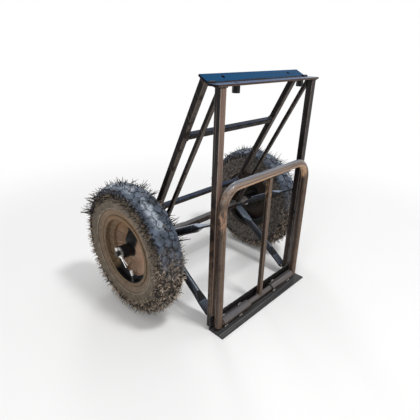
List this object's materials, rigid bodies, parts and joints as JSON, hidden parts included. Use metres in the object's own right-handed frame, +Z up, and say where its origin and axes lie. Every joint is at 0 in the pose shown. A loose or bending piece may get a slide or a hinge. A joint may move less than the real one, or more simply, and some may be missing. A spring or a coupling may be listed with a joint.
{
  "type": "folding hand truck",
  "caption": "Welded steel folding hand truck in black enamel, folded upright on pneumatic wheels with a tube nose loop.",
  "frame": {"origin": "on the floor in the middle of the footprint of the folded truck", "axes": "+X along the axle to the truck's right, -Y to the front where the nose folds down, +Z up"},
  "size_m": [0.7, 0.508, 0.7008],
  "materials": {
    "frame_enamel": "gloss",
    "plate_enamel": "gloss",
    "wheel_enamel": "satin",
    "tyre_rubber": "matte",
    "valve_rubber": "matte",
    "bare_steel": "satin",
    "bearing_steel": "satin",
    "cap_plastic": "matte"
  },
  "bodies": {
    "lower_frame": {"top_plate": "plate_enamel", "toe_angle": "frame_enamel", "axle_beam": "frame_enamel", "left_upright": "frame_enamel", "right_upright": "frame_enamel", "left_weld_nut": "frame_enamel", "right_weld_nut": "frame_enamel", "left_strut": "frame_enamel", "right_strut": "frame_enamel", "left_spindle": "bare_steel", "right_spindle": "bare_steel", "left_axle_sleeve": "frame_enamel", "right_axle_sleeve": "frame_enamel", "left_washer": "bare_steel", "right_washer": "bare_steel", "left_split_pin": "bare_steel", "right_split_pin": "bare_steel", "left_middle_brace": "frame_enamel", "right_middle_brace": "frame_enamel", "left_lower_brace": "frame_enamel", "right_lower_brace": "frame_enamel", "left_frame_knuckle": "frame_enamel", "right_frame_knuckle": "frame_enamel", "left_hinge_pin": "bare_steel", "right_hinge_pin": "bare_steel", "left_rest_stub": "frame_enamel", "right_rest_stub": "frame_enamel", "left_nose_sleeve": "frame_enamel", "right_nose_sleeve": "frame_enamel"},
    "upper_frame": {"fold_plate": "plate_enamel", "upper_rung": "frame_enamel", "lower_rung": "frame_enamel", "left_rail": "frame_enamel", "right_rail": "frame_enamel", "left_fold_knuckle": "frame_enamel", "right_fold_knuckle": "frame_enamel", "left_rail_cap": "cap_plastic", "right_rail_cap": "cap_plastic"},
    "nose": {"nose_loop": "frame_enamel", "nose_bar": "frame_enamel", "nose_rod": "frame_enamel"},
    "left_wheel": {"left_tyre": "tyre_rubber", "left_rim": "wheel_enamel", "left_disc": "wheel_enamel", "left_hub": "wheel_enamel", "left_outer_bearing": "bearing_steel", "left_inner_bearing": "bearing_steel", "left_valve": "valve_rubber"},
    "right_wheel": {"right_tyre": "tyre_rubber", "right_rim": "wheel_enamel", "right_disc": "wheel_enamel", "right_hub": "wheel_enamel", "right_outer_bearing": "bearing_steel", "right_inner_bearing": "bearing_steel", "right_valve": "valve_rubber"}
  },
  "joints": [
    {"name": "fold_hinge", "type": "hinge", "parent": "lower_frame", "child": "upper_frame", "pos_m": [0, -0.164, 0.68415], "axis": [1, 0, 0], "range_deg": [0, 153.8]},
    {"name": "nose_hinge", "type": "hinge", "parent": "lower_frame", "child": "nose", "pos_m": [0, -0.218, 0.018], "axis": [1, 0, 0], "range_deg": [0, 91]},
    {"name": "left_wheel_axle", "type": "hinge", "parent": "lower_frame", "child": "left_wheel", "pos_m": [-0.2905, 0.054, 0.2], "axis": [1, 0, 0], "continuous": true},
    {"name": "right_wheel_axle", "type": "hinge", "parent": "lower_frame", "child": "right_wheel", "pos_m": [0.2905, 0.054, 0.2], "axis": [1, 0, 0], "continuous": true}
  ]
}
